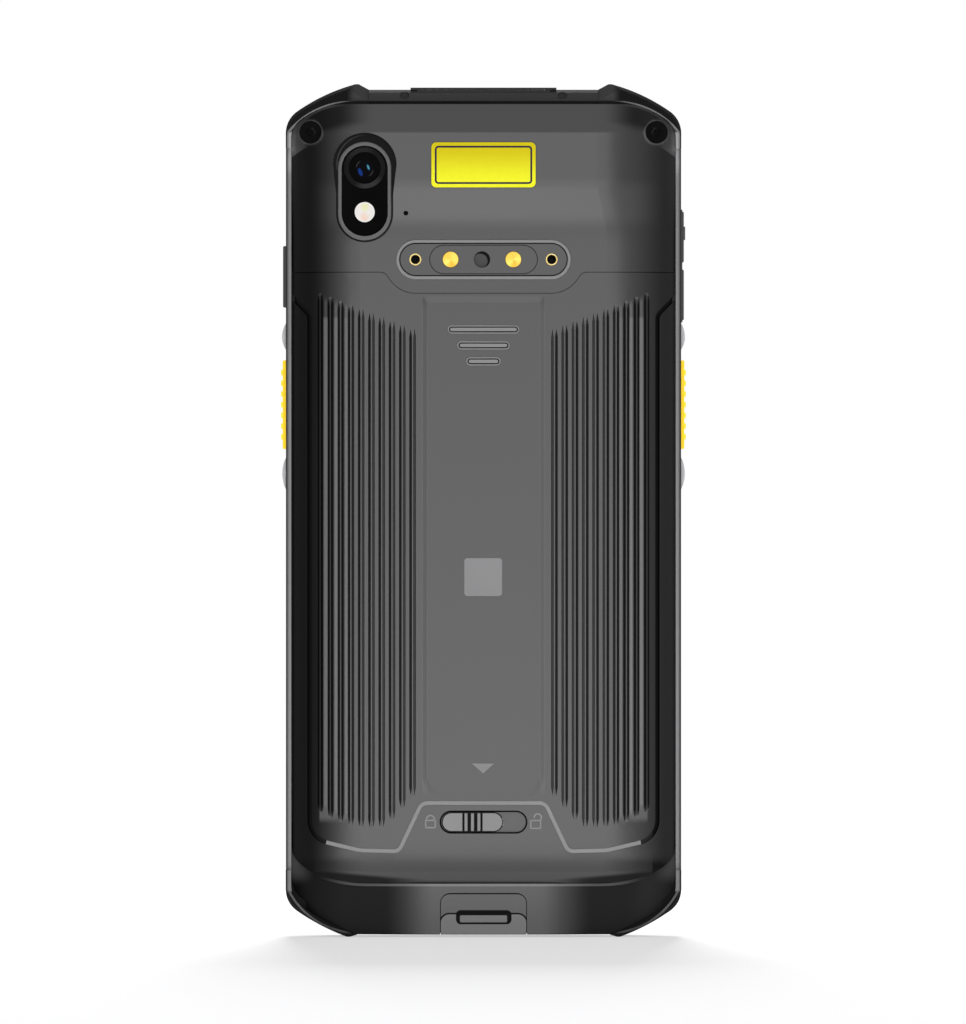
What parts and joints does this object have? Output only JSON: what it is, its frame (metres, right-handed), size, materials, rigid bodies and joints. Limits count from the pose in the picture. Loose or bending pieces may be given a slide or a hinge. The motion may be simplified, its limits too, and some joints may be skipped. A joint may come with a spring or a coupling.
{
  "type": "barcode data terminal",
  "caption": "Rugged handheld barcode terminal with a lift-off ribbed battery cover, sliding latch, side keys, camera, contact plate and a rubber flap over its charging port.",
  "frame": {"origin": "on the surface that the terminal stands on, below the middle of its width and thickness", "axes": "+X across the terminal, to the right seen from behind; +Y through it towards the screen; +Z along its length towards the scan window"},
  "size_m": [0.079, 0.017, 0.166],
  "materials": {
    "housing": "fine moulded grain",
    "cover": "fine moulded grain",
    "frame": "satin",
    "bumper": "satin",
    "key_black": "satin",
    "key_yellow": "satin",
    "guard": "satin",
    "latch": "satin",
    "bezel": "satin rim",
    "black_glass": "polished",
    "lens_glass": "coated",
    "flash": "milky lens",
    "gold": "gold plated",
    "insert": "turned",
    "screw": "black",
    "label": "printed film",
    "alloy": "cast",
    "board": "solder mask",
    "steel": "pressed",
    "electronics": "moulded",
    "pack": "wrapped film",
    "foam": "foam",
    "flap": "satin",
    "panel": "dark"
  },
  "bodies": {
    "terminal": {"rear_housing": "housing", "front_frame": "frame", "bumper_top_left": "bumper", "bumper_top_right": "bumper", "bumper_bottom_left": "bumper", "bumper_bottom_right": "bumper", "camera_bezel": "bezel", "camera_window": "black_glass", "camera_lens_ring": "bezel", "camera_lens": "lens_glass", "flash_lens": "flash", "camera_module": "electronics", "contact_plate": "housing", "contact_carrier": "housing", "contact_pads": "gold", "threaded_inserts": "insert", "housing_screws": "screw", "volume_key_bezel": "key_black", "scan_key_guards": "guard", "key_flex_left": "electronics", "key_flex_right": "electronics", "usb_flap_anchor": "flap", "usb_connector": "steel", "mid_frame": "alloy", "main_board": "board", "sub_board": "board", "board_flex": "electronics", "shield_cans": "steel", "scan_engine": "electronics", "scan_window_bezel": "frame", "scan_window": "black_glass", "label_plate": "label", "battery_contact_block": "electronics", "battery_contact_springs": "gold", "bay_seal": "foam", "loudspeaker": "electronics", "vibration_motor": "steel", "cover_glass": "black_glass", "display_gasket": "foam", "display_panel": "panel", "earpiece": "electronics", "earpiece_mesh": "steel", "front_camera": "electronics", "card_socket": "steel"},
    "cover": {"battery_cover": "cover", "nfc_coil": "electronics", "latch_detent": "steel"},
    "latch": {"latch_slider": "latch", "latch_tongue": "steel"},
    "battery": {"battery_pack": "pack"},
    "power_button": {"power_key": "key_black"},
    "volume_up": {"volume_up_key": "key_black"},
    "volume_down": {"volume_down_key": "key_black"},
    "scan_left": {"scan_key_left": "key_yellow"},
    "scan_right": {"scan_key_right": "key_yellow"},
    "port_flap": {"usb_flap": "flap"}
  },
  "joints": [
    {"name": "cover_lift", "type": "slide", "parent": "terminal", "child": "cover", "axis": [0, -1, 0], "range_m": [0, 0.06]},
    {"name": "latch_slide", "type": "slide", "parent": "cover", "child": "latch", "axis": [1, 0, 0], "range_m": [0, 0.0043]},
    {"name": "battery_lift", "type": "slide", "parent": "terminal", "child": "battery", "axis": [0, -1, 0], "range_m": [0, 0.027]},
    {"name": "power_press", "type": "slide", "parent": "terminal", "child": "power_button", "axis": [1, 0, 0], "range_m": [0, 0.00035], "stiffness_N_per_m": 150},
    {"name": "volume_up_press", "type": "slide", "parent": "terminal", "child": "volume_up", "axis": [-1, 0, 0], "range_m": [0, 0.00035], "stiffness_N_per_m": 150},
    {"name": "volume_down_press", "type": "slide", "parent": "terminal", "child": "volume_down", "axis": [-1, 0, 0], "range_m": [0, 0.00035], "stiffness_N_per_m": 150},
    {"name": "scan_left_press", "type": "slide", "parent": "terminal", "child": "scan_left", "axis": [1, 0, 0], "range_m": [0, 0.0004], "stiffness_N_per_m": 150},
    {"name": "scan_right_press", "type": "slide", "parent": "terminal", "child": "scan_right", "axis": [-1, 0, 0], "range_m": [0, 0.0004], "stiffness_N_per_m": 150},
    {"name": "flap_hinge", "type": "hinge", "parent": "terminal", "child": "port_flap", "pos_m": [0, -0.00635, 0.00465], "axis": [-1, 0, 0], "range_deg": [0, 90], "stiffness_Nm_per_rad": 0.002, "springref_deg": -8.59}
  ],
  "couplings": [
    {"joint": "battery_lift", "follows": "cover_lift", "ratio": 0.45}
  ]
}
